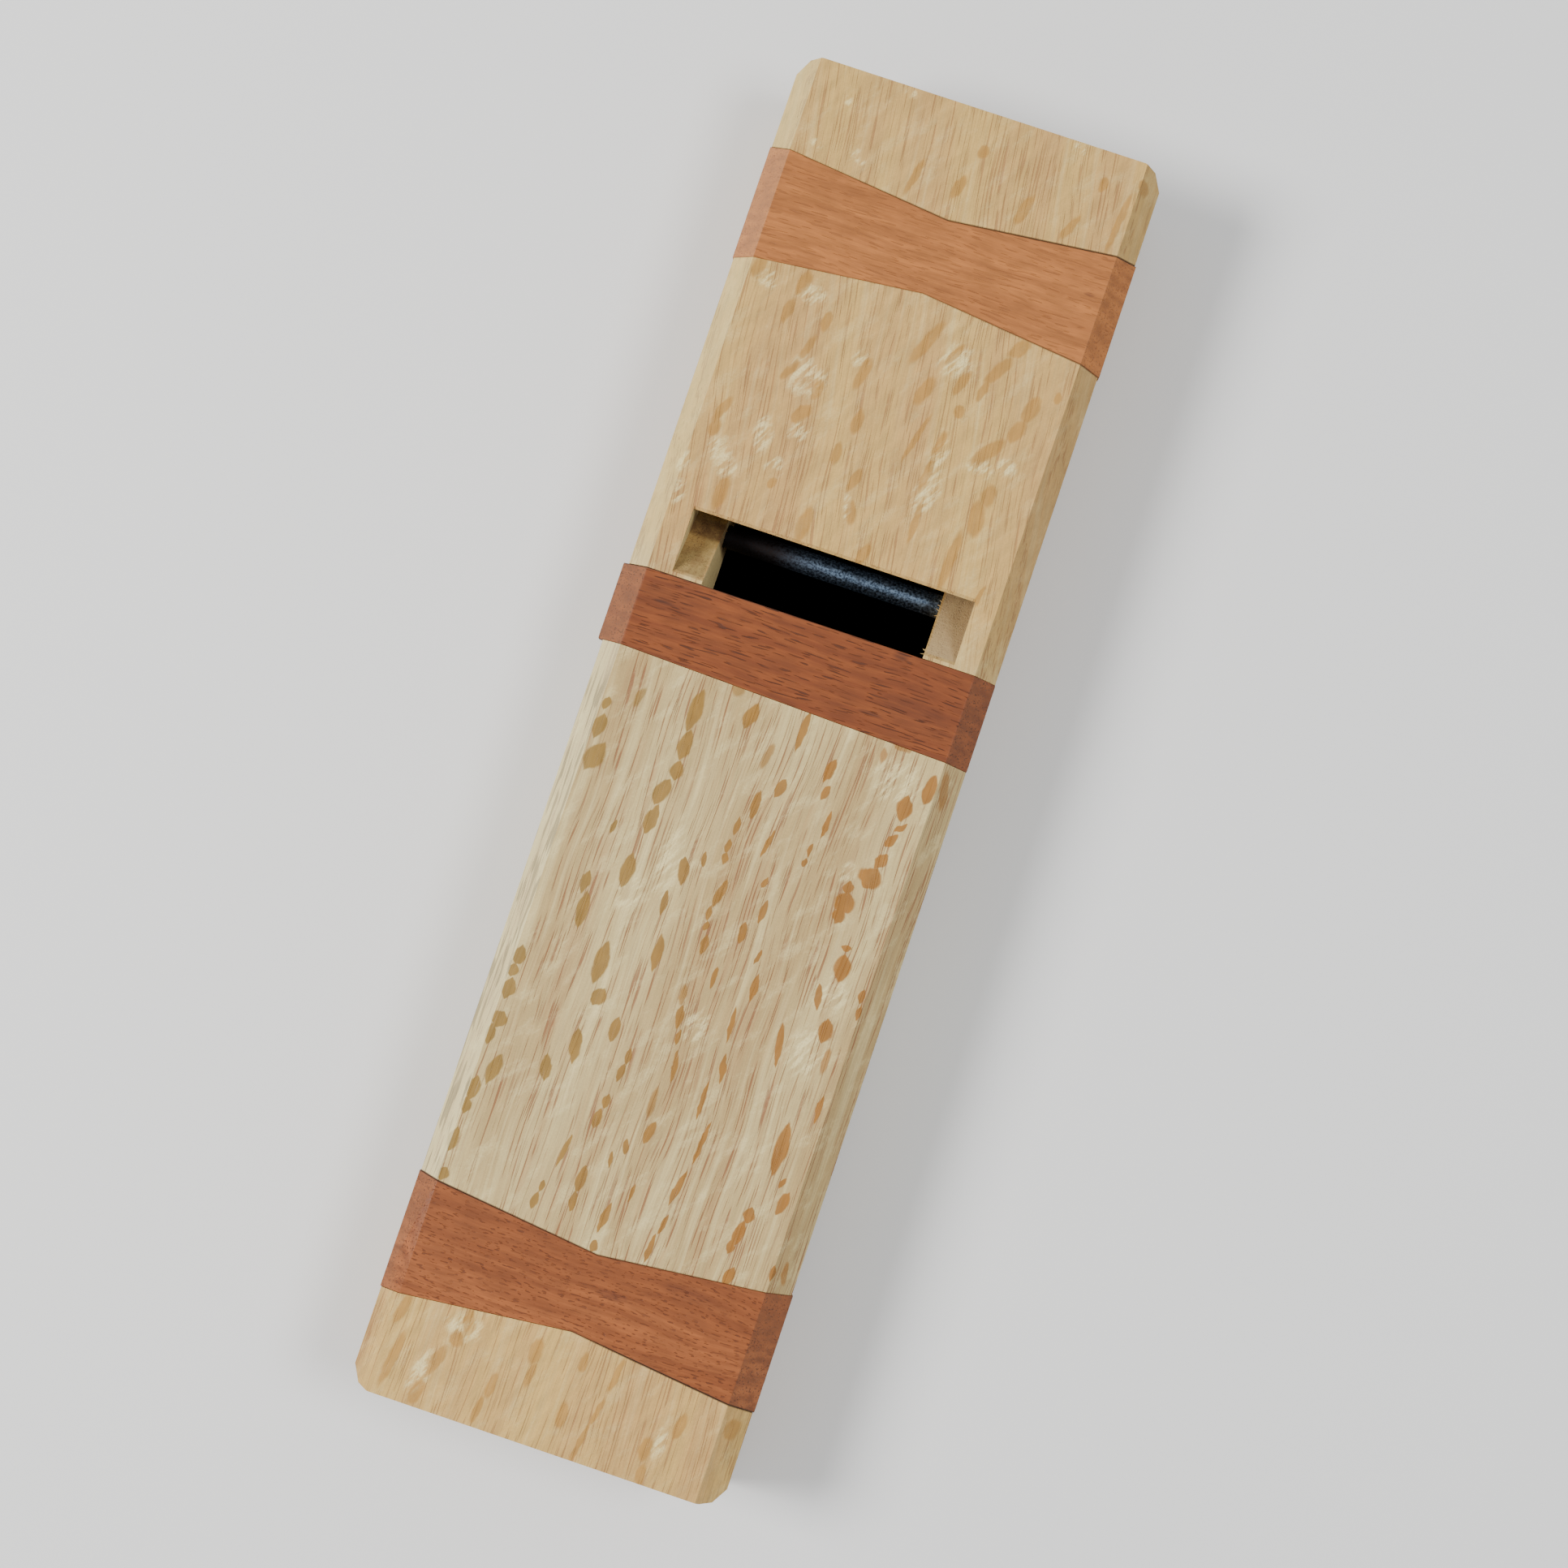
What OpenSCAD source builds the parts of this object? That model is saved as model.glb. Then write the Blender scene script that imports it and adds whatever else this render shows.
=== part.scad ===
// Wooden pull plane: an oak stock with three hardwood wear inlays in its sole, a steel cross pin
// in its throat, and a cutting iron with its chip-breaker, both drawn back up the bed.
// X runs across the plane, +Y points to its tail and +Z points straight out of the sole.
// The origin is the middle of the sole, so everything inside the stock has a negative Z.
// A side profile is written as [distance along Y, depth below the sole].

/* [Stock] */
// Width of the stock across the plane
stock_w = 80; // [76:0.5:84]
// Length of the stock from toe to tail
stock_l = 290; // [284:1:300]
// Thickness of the stock from sole to top face
stock_t = 34; // [32:0.5:36]
// Width of the chamfer along the left edge of the sole
chamfer_left = 4.2; // [3:0.1:5.5]
// Width of the right edge's chamfer at the tail
chamfer_tail = 4.2; // [3:0.1:5.5]
// Width of the right edge's chamfer at the toe
chamfer_toe = 5.4; // [3:0.1:5.5]
// Width of the chamfer around the top face
chamfer_top = 3; // [1:0.5:4]

/* [Corners] */
// Distance from a corner to where its cut leaves the side
corner_side = 3.9; // [2:0.1:6]
// Distance from a corner to where its cut leaves the end
corner_end = 4.6; // [3:0.1:6]
// Distance of the cut's knee from the side
knee_side = 2.1; // [1:0.1:2.9]
// Distance of the cut's knee from the end
knee_end = 0.75; // [0.2:0.05:1.5]

/* [Inlays] */
// Thickness of all three inlays
inlay_t = 8; // [6:0.5:9]
// Width of the gap along an inlay's long edges
joint_gap = 0.06; // [0.02:0.01:0.15]
// Distance of the toe and tail inlays from the middle of the sole
key_y = 112.4; // [105:0.1:118]
// Width of a toe or tail inlay at the sides of the stock
key_end_w = 24.8; // [20:0.1:28]
// Width of a toe or tail inlay at its waist
key_waist_w = 16.2; // [12:0.1:20]
// How far a toe or tail inlay stands out of each side
key_proud = 0.3; // [0.1:0.1:0.6]
// Where the mouth inlay ends at its front, on the centre line
mouth_inlay_front = 14.15; // [12:0.05:16]
// How much wider the mouth inlay is at its right end than at its left
mouth_inlay_taper = 2.3; // [0:0.1:4]
// How far the mouth inlay stands out of the left side
mouth_proud_left = 1.2; // [0.1:0.1:2]
// How far the mouth inlay stands out of the right side
mouth_proud_right = 0.1; // [0.1:0.1:1]

/* [Mouth and throat] */
// Where the mouth starts, at the rear edge of the mouth inlay
mouth_front = 32; // [31:0.5:33]
// Width of the throat between the two cheeks
throat_w = 48; // [46:0.5:49]
// Where the throat's sloping front wall meets the top face
throat_front_top = 17; // [14:0.5:20]
// Where the plane of the bed would meet the sole
bed_y = 46; // [45.5:0.1:47]
// Slope of the bed from the sole
bed_angle = 40; // [38:0.5:42]
// Width of the blunted lip where the bed reaches the sole
lip_land = 0.6; // [0.3:0.1:1]
// Depth of the lip's blunted edge
lip_depth = 0.5; // [0.3:0.1:0.8]
// Where the cheeks' pressing faces meet the sole
press_y = 32.8; // [32.6:0.05:33]
// Angle by which the grooves open towards the top face
groove_taper = 1.35; // [1:0.05:1.6]
// Width across the two grooves that hold the iron
groove_w = 61.2; // [60.8:0.1:62]

/* [Cross pin] */
// Diameter of the cross pin
pin_d = 5; // [4:0.1:5.4]
// Place of the cross pin along the stock
pin_y = 46; // [45:0.1:47]
// Depth of the cross pin's axis below the sole
pin_depth = 20; // [19:0.1:21]

/* [Iron] */
// Width of the cutting iron
iron_w = 60; // [56:0.5:60]
// Length of the cutting iron
iron_l = 85; // [78:1:95]
// Thickness of the cutting iron at its edge
iron_t = 8.35; // [8:0.05:8.35]
// Angle of the cutting iron's bevel
iron_bevel = 28; // [25:0.5:32]
// Width of the cutting edge between the clipped corners
edge_w = 47; // [44:0.5:47]
// Length of each clipped corner at the edge
clip_l = 12; // [8:0.5:16]
// Size of the cut corners at the head
head_cut = 5; // [2:0.5:8]
// Distance that the iron is drawn back from cutting
iron_drawn_back = 21; // [18:0.5:24]
// Gap between the iron and its bed
bed_gap = 0.05; // [0.02:0.01:0.1]
// Depth of the hollow ground in the iron's flat face
hollow_depth = 0.4; // [0.2:0.1:0.6]
// Width of the hollow
hollow_w = 42; // [30:1:46]
// Length of the hollow
hollow_l = 48; // [30:1:56]
// Flat land between the hollow and the cutting edge
hollow_land = 3; // [1.5:0.5:5]
// Corner radius of the hollow
hollow_r = 10; // [5:1:14]

/* [Chip-breaker] */
// Width of the chip-breaker
breaker_w = 46; // [42:0.5:46]
// Length of the chip-breaker
breaker_l = 52; // [48:1:60]
// Thickness of the chip-breaker
breaker_t = 3.6; // [3:0.1:3.6]
// Distance of the chip-breaker's tip from the cutting edge
breaker_back = 3; // [1:0.1:4]
// Thickness of the chip-breaker's tip
tip_t = 0.5; // [0.3:0.1:1]
// Size of the clipped corners at the chip-breaker's tip
tip_cut = 1; // [0.5:0.1:2]
// Length of the tip's flat that bears on the iron
tip_land = 9; // [6:0.5:12]
// Lift of the chip-breaker off the iron behind its tip
breaker_relief = 0.7; // [0.4:0.1:1]
// Size of each bent ear at the chip-breaker's head
ear_size = 9; // [6:0.5:12]
// Gap between the chip-breaker and the iron
breaker_gap = 0.05; // [0.02:0.01:0.1]

/* [Hidden] */
$fn = 64;

OAK = [0.86, 0.76, 0.59];
REDWOOD = [0.67, 0.37, 0.24];
ORANGEWOOD = [0.74, 0.47, 0.31];
STEEL = [0.55, 0.57, 0.60];
FORGED = [0.30, 0.30, 0.31];

past = 1; // how far a cutter runs past the face it opens
chamfer_angle = 45;
cutter = 400; // side of a block that cuts everything beyond one plane
ends = [-1, 1];

press_angle = bed_angle + groove_taper;
iron_bevel_run = (iron_t - bed_gap) / tan(iron_bevel);
iron_seat = -iron_t / tan(bed_angle); // place of the edge up the bed when it is level with the sole
iron_place = iron_seat + iron_drawn_back;
head_t = iron_t + iron_l * tan(groove_taper);

// Where a slope of the given angle from [y, 0] is at a depth below the sole
function slope_y(y, angle, depth) = y + depth / tan(angle);

// One corner's three points, measured inwards from the stock's own corner
corner = [[0, corner_side], [knee_side, knee_end], [corner_end, 0]];
function corner_points(sx, sy, order) = [
    for (i = order)
        [sx * (stock_w / 2 - corner[i].x), sy * (stock_l / 2 - corner[i].y)]
];
stock_outline = concat(
    corner_points(1, 1, [0, 1, 2]),
    corner_points(-1, 1, [2, 1, 0]),
    corner_points(-1, -1, [0, 1, 2]),
    corner_points(1, -1, [2, 1, 0])
);

// Outline of a bow-tie inlay about its own centre, reaching a given distance to each side
function key_half_w(x) = (key_waist_w + (key_end_w - key_waist_w) * abs(x) / (stock_w / 2)) / 2;
function key_outline(reach, grow) = [
    for (p = [[-1, -1], [0, -1], [1, -1], [1, 1], [0, 1], [-1, 1]])
        [p.x * reach, p.y * (key_half_w(p.x * reach) + grow)]
];

// Outline of the mouth inlay between two places across the plane
function mouth_inlay_edge(x) = mouth_inlay_front - mouth_inlay_taper / 2 * x / (stock_w / 2);
function mouth_outline(left, right, grow) = [
    [left, mouth_inlay_edge(left) - grow],
    [right, mouth_inlay_edge(right) - grow],
    [right, mouth_front + grow],
    [left, mouth_front + grow]
];

// Side profiles of the throat and of the grooves, running past the sole and the top face
top_past = stock_t + past;
throat_profile = [
    [mouth_front, -past],
    [mouth_front, inlay_t],
    [throat_front_top, stock_t],
    [throat_front_top, top_past],
    [slope_y(bed_y, bed_angle, top_past), top_past],
    [slope_y(bed_y, bed_angle, lip_depth), lip_depth],
    [slope_y(bed_y, bed_angle, lip_depth) + lip_land, 0],
    [slope_y(bed_y, bed_angle, lip_depth) + lip_land, -past]
];
groove_profile = [
    [slope_y(press_y, press_angle, -past), -past],
    [slope_y(press_y, press_angle, top_past), top_past],
    [slope_y(bed_y, bed_angle, top_past), top_past],
    [slope_y(bed_y, bed_angle, lip_depth), lip_depth],
    [slope_y(bed_y, bed_angle, lip_depth) + lip_land, 0],
    [slope_y(bed_y, bed_angle, lip_depth) + lip_land, -past]
];

// A side profile, drawn out across the plane
module across(profile, width)
    translate([-width / 2, 0, 0])
        rotate([90, 0, 90])
            linear_extrude(width)
                polygon([for (p = profile) [p.x, -p.y]]);

// Everything outside the chamfer along one long edge of the sole
module beyond_sole_chamfer(side, at_tail, at_toe)
    translate([side * (stock_w / 2 - (at_tail + at_toe) / 2), 0, 0])
        rotate([0, 0, -side * atan((at_toe - at_tail) / stock_l)])
            rotate([0, side * chamfer_angle, 0])
                translate([0, 0, cutter / 2])
                    cube(cutter, center = true);

module sole_chamfers() {
    beyond_sole_chamfer(-1, chamfer_left, chamfer_left);
    beyond_sole_chamfer(1, chamfer_tail, chamfer_toe);
}

// Everything outside the chamfers around the top face
module top_chamfers()
    for (side = ends) {
        translate([side * (stock_w / 2 - chamfer_top), 0, -stock_t])
            rotate([0, -side * chamfer_angle, 0])
                translate([0, 0, -cutter / 2])
                    cube(cutter, center = true);
        translate([0, side * (stock_l / 2 - chamfer_top), -stock_t])
            rotate([side * chamfer_angle, 0, 0])
                translate([0, 0, -cutter / 2])
                    cube(cutter, center = true);
    }

// A plate let into the sole, from a given depth up to a given height
module plate(outline, depth, above = 0)
    translate([0, 0, -depth])
        linear_extrude(depth + above)
            polygon(outline);

// The bed's own frame: Y runs up the bed from the sole and -Z points away from the bed
module on_bed(up)
    translate([0, bed_y, 0])
        rotate([-bed_angle, 0, 0])
            translate([0, up, 0])
                children();

// The iron's flat face: Y runs from the cutting edge to the head and -Z points out of the face
module on_iron_face()
    on_bed(iron_place)
        translate([0, 0, -iron_t])
            rotate([-groove_taper, 0, 0])
                children();

// A square-cut plate outline with clipped lower corners and cut upper corners
function blade_outline(w, l, tip_w, tip_l, cut) = [
    [-tip_w / 2, 0],
    [tip_w / 2, 0],
    [w / 2, tip_l],
    [w / 2, l - cut],
    [w / 2 - cut, l],
    [-w / 2 + cut, l],
    [-w / 2, l - cut],
    [-w / 2, tip_l]
];

breaker_outline = blade_outline(
    breaker_w,
    breaker_l,
    breaker_w - 2 * tip_cut,
    tip_cut,
    head_cut
);

module rounded_rectangle(w, l, r) {
    square([w - 2 * r, l], center = true);
    square([w, l - 2 * r], center = true);
    for (x = ends, y = ends)
        translate([x * (w / 2 - r), y * (l / 2 - r)])
            circle(r);
}

module stock()
    color(OAK)
        difference() {
            plate(stock_outline, stock_t);
            sole_chamfers();
            top_chamfers();
            for (y = [-key_y, key_y])
                translate([0, y, 0])
                    plate(key_outline(stock_w / 2 + past, joint_gap), inlay_t, past);
            plate(
                mouth_outline(-stock_w / 2 - past, stock_w / 2 + past, joint_gap),
                inlay_t,
                past
            );
            across(throat_profile, throat_w);
            across(groove_profile, groove_w);
            cross_pin_rod(stock_w + 2 * past);
        }

module key_inlay(y)
    difference() {
        translate([0, y, 0])
            plate(key_outline(stock_w / 2 + key_proud, 0), inlay_t);
        sole_chamfers();
    }

module front_inlay()
    color(REDWOOD)
        key_inlay(-key_y);

module rear_inlay()
    color(ORANGEWOOD)
        key_inlay(key_y);

module mouth_inlay()
    color(REDWOOD)
        difference() {
            plate(
                mouth_outline(-stock_w / 2 - mouth_proud_left, stock_w / 2 + mouth_proud_right, 0),
                inlay_t
            );
            sole_chamfers();
        }

module cross_pin_rod(length)
    translate([0, pin_y, -pin_depth])
        rotate([0, 90, 0])
            cylinder(d = pin_d, h = length, center = true);

module cross_pin()
    color(STEEL)
        cross_pin_rod(stock_w);

module iron()
    color(FORGED)
        difference() {
            on_bed(iron_place)
                intersection() {
                    across(
                        [[0, iron_t], [iron_bevel_run, bed_gap], [iron_l, bed_gap], [iron_l, head_t]],
                        iron_w
                    );
                    translate([0, 0, -head_t])
                        linear_extrude(head_t)
                            polygon(blade_outline(iron_w, iron_l, edge_w, clip_l, head_cut));
                }
            on_iron_face()
                translate([0, hollow_land + hollow_l / 2, -past])
                    linear_extrude(past + hollow_depth)
                        rounded_rectangle(hollow_w, hollow_l, hollow_r);
        }

module chip_breaker()
    color(STEEL)
        on_iron_face()
            translate([0, breaker_back, -breaker_gap])
                intersection() {
                    union() {
                        across(
                            [
                                [0, 0],
                                [tip_land, 0],
                                [tip_land + breaker_relief, breaker_relief],
                                [breaker_l, breaker_relief],
                                [breaker_l, breaker_t],
                                [breaker_t - tip_t, breaker_t],
                                [0, tip_t]
                            ],
                            breaker_w
                        );
                        for (side = ends)
                            translate([side * (breaker_w - ear_size) / 2, breaker_l - ear_size / 2, 0])
                                translate([-ear_size / 2, -ear_size / 2, -breaker_t])
                                    cube([ear_size, ear_size, breaker_t]);
                    }
                    translate([0, 0, -breaker_t])
                        linear_extrude(breaker_t)
                            polygon(breaker_outline);
                }

stock();
front_inlay();
mouth_inlay();
rear_inlay();
cross_pin();
iron();
chip_breaker();
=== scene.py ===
"""Looks of a wooden pull plane lying sole up: materials, small details, light and camera.

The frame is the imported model's: X across the plane, +Y to its tail, +Z out of the sole, in metres.
Materials and details are worked out in millimetres, because that is the scale of wood grain.
"""

import math
import random

import bmesh
import bpy
from mathutils import Matrix, Vector


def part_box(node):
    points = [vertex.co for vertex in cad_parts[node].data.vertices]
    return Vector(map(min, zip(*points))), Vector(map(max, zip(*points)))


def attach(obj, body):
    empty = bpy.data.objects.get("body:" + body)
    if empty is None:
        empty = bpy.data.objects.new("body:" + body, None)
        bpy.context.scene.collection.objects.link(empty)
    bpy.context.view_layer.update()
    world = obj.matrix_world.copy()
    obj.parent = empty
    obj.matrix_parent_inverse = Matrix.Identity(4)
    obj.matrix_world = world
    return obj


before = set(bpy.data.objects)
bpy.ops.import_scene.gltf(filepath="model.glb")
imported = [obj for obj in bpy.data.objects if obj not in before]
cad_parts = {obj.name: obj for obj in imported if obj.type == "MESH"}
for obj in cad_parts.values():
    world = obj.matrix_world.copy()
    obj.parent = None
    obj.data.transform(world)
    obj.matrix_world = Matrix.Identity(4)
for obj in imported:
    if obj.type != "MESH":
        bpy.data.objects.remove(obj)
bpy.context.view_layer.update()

MM = 0.001
STOCK_LOW, STOCK_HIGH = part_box("stock")
HALF_W = STOCK_HIGH.x / MM
THICK = -STOCK_LOW.z / MM
_, MOUTH_INLAY_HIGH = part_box("mouth_inlay")
MOUTH_FRONT = MOUTH_INLAY_HIGH.y / MM

# As in the CAD: the throat, and where the grooves' pressing faces meet the sole and how they fall
THROAT_HALF_W = 24.0
PRESS_Y = 32.8
PRESS_ANGLE = 41.35

# As in the CAD: the bow-tie inlays' middle, half width at the waist, and what their ends add to it
KEY_Y = 112.4
KEY_HALF_WAIST = 8.1
KEY_HALF_FLARE = 4.3

# Part of the normal along one axis at which a face starts to count as such, and at which it does
SOLE_FACING = (0.45, 0.6)
CHAMFER_FACING = (0.5, 0.65)
SIDE_FACING = (0.8, 0.95)
OAK_END_FACING = (0.5, 0.9)


# ---------------------------------------------------------------------------------------------
# Shader node shorthand
# ---------------------------------------------------------------------------------------------


def rgb(red, green, blue):
    """A linear colour from 0-255 display values."""
    return tuple(((v / 255 + 0.055) / 1.055) ** 2.4 for v in (red, green, blue)) + (1.0,)


class Graph:
    """One material's node tree. Each call adds a node and returns its output socket."""

    def __init__(self, name, metallic=0.0):
        self.material = bpy.data.materials.new(name)
        self.material.use_nodes = True
        self.tree = self.material.node_tree
        self.shader = self.tree.nodes["Principled BSDF"]
        self.shader.inputs["Metallic"].default_value = metallic

    def add(self, kind, inputs, output=0, **settings):
        node = self.tree.nodes.new(kind)
        for name, value in settings.items():
            setattr(node, name, value)
        for key, value in inputs.items():
            if isinstance(value, bpy.types.NodeSocket):
                self.tree.links.new(value, node.inputs[key])
            else:
                node.inputs[key].default_value = value
        return node.outputs[output]

    def math(self, operation, a, b=0.0, c=0.0):
        return self.add("ShaderNodeMath", {0: a, 1: b, 2: c}, operation=operation)

    def sum(self, a, b):
        return self.math("ADD", a, b)

    def times(self, a, b):
        return self.math("MULTIPLY", a, b)

    def flip(self, a):
        """1 - a"""
        return self.math("SUBTRACT", 1.0, a)

    def vector(self, x, y, z):
        return self.add("ShaderNodeCombineXYZ", {0: x, 1: y, 2: z})

    def scaled(self, vector, by):
        return self.add("ShaderNodeVectorMath", {0: vector, 1: by}, operation="MULTIPLY")

    def dot(self, vector, with_):
        return self.add(
            "ShaderNodeVectorMath", {0: vector, 1: with_}, output=1, operation="DOT_PRODUCT"
        )

    def split(self, vector):
        node = self.tree.nodes.new("ShaderNodeSeparateXYZ")
        self.tree.links.new(vector, node.inputs[0])
        return node.outputs[0], node.outputs[1], node.outputs[2]

    def noise(self, vector, size, detail=2.0, rough=0.5, colour=False):
        """Noise whose grain is about size units of the vector across."""
        return self.add(
            "ShaderNodeTexNoise",
            {"Vector": vector, "Scale": 1.0 / size, "Detail": detail, "Roughness": rough},
            output=1 if colour else 0,
        )

    def step(self, value, low, high, to_low=0.0, to_high=1.0):
        """Smooth change from to_low to to_high as value goes from low to high."""
        return self.add(
            "ShaderNodeMapRange",
            {0: value, 1: low, 2: high, 3: to_low, 4: to_high},
            interpolation_type="SMOOTHSTEP",
        )

    def band(self, value, centre, half, soft):
        """1 within half of centre, fading to 0 over soft."""
        away = self.math("ABSOLUTE", self.math("SUBTRACT", value, centre))
        return self.step(away, half, half + soft, 1.0, 0.0)

    def mix(self, fac, a, b):
        """Colour a, turning into colour b as fac goes from 0 to 1."""
        return self.add("ShaderNodeMix", {0: fac, 6: a, 7: b}, output=2, data_type="RGBA")

    def mix_value(self, fac, a, b):
        """The same for two numbers."""
        return self.add("ShaderNodeMix", {0: fac, 2: a, 3: b})

    def shade(self, colour, amount):
        """The colour times an amount that varies."""
        return self.add(
            "ShaderNodeVectorMath", {0: colour, "Scale": amount}, operation="SCALE"
        )

    def chamfers(self, normal_x, on_sole):
        """The left and the right chamfer along the sole."""
        left = self.step(self.times(normal_x, -1.0), *CHAMFER_FACING)
        right = self.step(normal_x, *CHAMFER_FACING)
        return self.times(left, on_sole), self.times(right, on_sole)

    def coordinates(self):
        """Place in millimetres and surface normal, both in the model's frame."""
        node = self.tree.nodes.new("ShaderNodeTexCoord")
        place = self.scaled(node.outputs["Object"], (1 / MM,) * 3)
        return place, node.outputs["Normal"]

    def finish(self, colour, roughness, height, depth_mm, specular):
        """Joins the surface to the shader. A height of 1 stands depth_mm over a height of 0."""
        self.tree.links.new(colour, self.shader.inputs["Base Color"])
        self.tree.links.new(roughness, self.shader.inputs["Roughness"])
        self.shader.inputs["Specular IOR Level"].default_value = specular
        bump = self.add(
            "ShaderNodeBump", {"Strength": 1.0, "Distance": depth_mm * MM, "Height": height}
        )
        self.tree.links.new(bump, self.shader.inputs["Normal"])
        return self.material


# ---------------------------------------------------------------------------------------------
# Oak
# ---------------------------------------------------------------------------------------------

# Ray flecks on the sole, listed one by one: middle x, middle y, width and length in mm, and lean to
# +X in degrees. Crisp ones between the toe and mouth inlays, by the chains they form.
CRISP_FLECKS = [
    (-34.6, 2.7, 1.5, 2.6, 10), (-34.5, -2, 2.3, 5, 5), (-33.4, -8.4, 3.2, 6.4, 20),
    (-34.8, -52, 2.2, 4, 0), (-35, -55.3, 2, 2.4, 0), (-34.7, -59, 2.4, 4, 5),
    (-34.5, -65.5, 2.8, 3.4, 15), (-35.2, -69, 1.8, 4, 0), (-32.2, -75.5, 2.3, 6.6, 10),
    (-35, -80.4, 2.4, 4.4, 0), (-35.3, -84.2, 1.9, 3.4, 0), (-35.4, -91.5, 1.8, 5, 5),
    (-35.1, -98.8, 2, 2.8, 10),
    (-25.1, -20.9, 0.9, 3, 5), (-26.9, -33.4, 1.7, 4.5, 5), (-25.6, -39, 2, 7.3, -3),
    (-16.8, 7, 2.4, 8.6, 3), (-16.5, -0.4, 2.3, 6, 3), (-16.4, -5.9, 2.3, 4, 0),
    (-18, -11, 2.6, 5.8, 12), (-18.2, -17, 2.2, 6, 8), (-19.5, -28.5, 2.3, 7, 0),
    (-18.6, -48, 2.5, 8.4, 2), (-16.7, -54.8, 2.5, 4, 20), (-11.5, -60.1, 1.7, 5, 2),
    (-18, -65.5, 2, 6.7, -8), (-22.3, -71.8, 2, 5.4, -12), (-13.3, -86.6, 0.9, 6.8, 8),
    (-15.3, -94.6, 0.9, 2.7, 8), (-15.8, -98, 1.4, 3.7, 5),
    (-5.6, 9.6, 2.2, 5.4, 12), (-8.6, -25, 1.9, 5.4, -10), (-10.2, -32.3, 1.1, 4.8, 0),
    (-8.2, -42.6, 1.6, 7, -3), (-7, -64.3, 1, 3.4, 3), (-7.5, -68, 1.3, 3.8, 5),
    (-8.4, -74.3, 1.5, 2.6, 0), (-9, -78.2, 1.4, 4.4, 3), (-8.2, -90.8, 1.6, 5.6, 2),
    (-8.3, -95.6, 1.2, 3.8, 0),
    (-5.3, -21.5, 0.9, 3, -5), (-1.1, -12.8, 1, 3.8, 0), (-1.5, -17.2, 1.2, 2.6, 0),
    (-1.4, -19.8, 1.2, 2.4, 0), (1.1, -7.3, 1.6, 5.4, 0), (0, -27, 1.4, 5.8, 10),
    (-0.8, -31.5, 1, 3, 0), (-0.6, -34.2, 1, 1.9, 0), (0.3, -38, 1.4, 4, 5),
    (0.3, -53.3, 1.5, 4.6, -3), (1.3, -57.5, 0.8, 3, 0), (2.5, -63.2, 1, 6.5, -7),
    (2, -77.5, 1.6, 4.8, 10), (-1.6, -81.8, 1.1, 3.1, -12), (-3.8, -85.3, 0.8, 3, -10),
    (-1.2, -96.8, 1.3, 6, 8), (-1.4, -102.7, 1.3, 2.6, 5), (2.5, -90.2, 0.6, 3.7, 5),
    (5.5, 10, 1.3, 8.7, 3), (4.9, -2.4, 1.5, 4.1, 15), (6, -14.2, 0.9, 5.8, 8),
    (8, -22, 0.9, 2.4, 12), (9.5, -27.7, 1.1, 4.7, 3), (6.9, -33, 1.4, 4.4, 0),
    (11.5, -36.9, 0.7, 3.1, 8), (4.3, -43.7, 1, 4.4, 0), (12.8, -43, 1.2, 5.6, 0),
    (10.8, -51.6, 0.9, 7, -2), (12, -60.5, 1.1, 5.6, -8), (10.1, -67.8, 0.9, 7.8, 0),
    (12.7, -76.3, 0.9, 8.6, 5), (11, -86.4, 1.1, 7.4, 10), (10.6, -94.2, 0.8, 4.4, 8),
    (9.6, -99.7, 1, 5.9, 5),
    (13.3, 4.1, 1.7, 5.1, 12), (13.9, -0.6, 1.2, 3.2, 15), (16.2, -6.7, 0.9, 5.3, 5),
    (14.6, -12.6, 0.8, 2.8, 3), (14.3, -15.5, 0.8, 2, 3),
    (33.9, 6.7, 2.2, 6.2, 5), (30.2, 1.6, 2.6, 5, 0), (30.8, -2.5, 1, 3, 45),
    (29.8, -5.5, 1.5, 3.4, 35), (29.1, -10.2, 2, 3.8, 25), (28.1, -14.2, 4.2, 4.4, 20),
    (24.4, -17.4, 2, 2.2, 0), (24.8, -20.7, 3.5, 4.6, 0), (24.4, -23.6, 2.3, 2.9, 5),
    (28, -29.2, 1.8, 1.1, 0), (28.5, -33.4, 2.9, 5.6, -5), (25.8, -40.5, 1.1, 5.2, -12),
    (29.3, -46.7, 2.5, 4.8, -3), (21.3, -52.4, 1.2, 8.2, -8), (28.4, -72.2, 2.4, 10.3, 0),
    (26.5, -86.9, 2, 3, 5), (25.7, -91, 1.8, 5, 8), (24.9, -94.2, 1.4, 3, 8),
    (26.5, -100, 1.8, 4, 12),
    (34.1, -37.7, 1.1, 2.7, 0), (34.6, -41, 0.9, 2.9, 0), (33.1, -62, 1, 5.8, 0),
    (31, -78.5, 0.9, 2.4, 20), (32.2, -82.5, 1.7, 4.8, 12), (34.8, -96.3, 0.9, 3.3, 3),
]

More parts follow.
